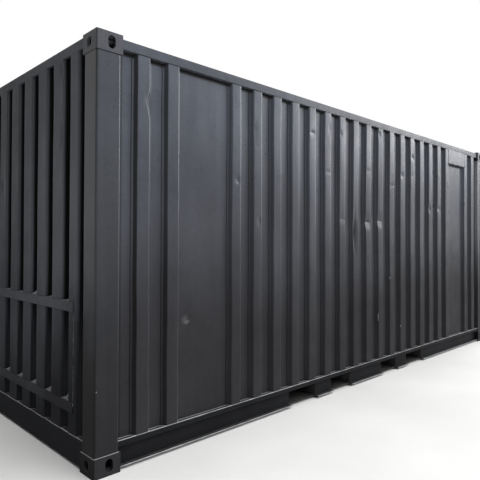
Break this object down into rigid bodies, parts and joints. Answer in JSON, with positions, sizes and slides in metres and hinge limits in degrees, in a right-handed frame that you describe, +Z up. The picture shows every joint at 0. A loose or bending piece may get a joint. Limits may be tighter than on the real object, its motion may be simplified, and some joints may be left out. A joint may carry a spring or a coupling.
{
  "type": "shipping container",
  "caption": "Steel dry-cargo shipping container with corrugated walls, corner fittings, fork pockets, timber floor and a pair of locking rear doors, modelled shut.",
  "frame": {"origin": "centre of the footprint, on the ground plane under the bottom corner fittings", "axes": "+X along the length towards the doors, +Y across the width towards the right side, +Z up"},
  "size_m": [6.058, 2.438, 2.591],
  "materials": {
    "painted_steel": "satin dark grey paint, weathered",
    "fitting_steel": "painted cast steel, scuffed",
    "under_steel": "matt dark underbody coating",
    "door_gear": "painted forged steel",
    "rubber": "matt",
    "plywood": "oiled plywood"
  },
  "bodies": {
    "root": {"front_left_bottom_fitting": "fitting_steel", "front_right_bottom_fitting": "fitting_steel", "rear_left_bottom_fitting": "fitting_steel", "rear_right_bottom_fitting": "fitting_steel", "front_left_top_fitting": "fitting_steel", "front_right_top_fitting": "fitting_steel", "rear_left_top_fitting": "fitting_steel", "rear_right_top_fitting": "fitting_steel", "left_front_post": "painted_steel", "right_front_post": "painted_steel", "left_rear_post": "painted_steel", "right_rear_post": "painted_steel", "front_wall": "painted_steel", "front_middle_bar": "painted_steel", "front_lower_bar": "painted_steel", "left_side_wall": "painted_steel", "right_side_wall": "painted_steel", "marking_plates": "painted_steel", "left_top_rail": "painted_steel", "right_top_rail": "painted_steel", "front_top_rail": "painted_steel", "left_bottom_rail": "painted_steel", "right_bottom_rail": "painted_steel", "front_sill": "painted_steel", "roof_sheet": "painted_steel", "roof_corner_plates": "painted_steel", "door_header": "painted_steel", "door_sill": "painted_steel", "left_door_frame": "painted_steel", "right_door_frame": "painted_steel", "left_door_panel": "painted_steel", "right_door_panel": "painted_steel", "cross_members": "under_steel", "fork_pocket_sides": "under_steel", "fork_pocket_tops": "under_steel", "fork_pocket_straps": "under_steel", "locking_rods": "door_gear", "cam_keepers": "door_gear", "rod_guides": "door_gear", "rod_handles": "door_gear", "handle_catches": "door_gear", "left_door_hinges": "door_gear", "right_door_hinges": "door_gear", "left_hinge_lugs": "door_gear", "right_hinge_lugs": "door_gear", "left_door_gasket": "rubber", "right_door_gasket": "rubber", "floor_boards": "plywood"}
  },
  "joints": []
}
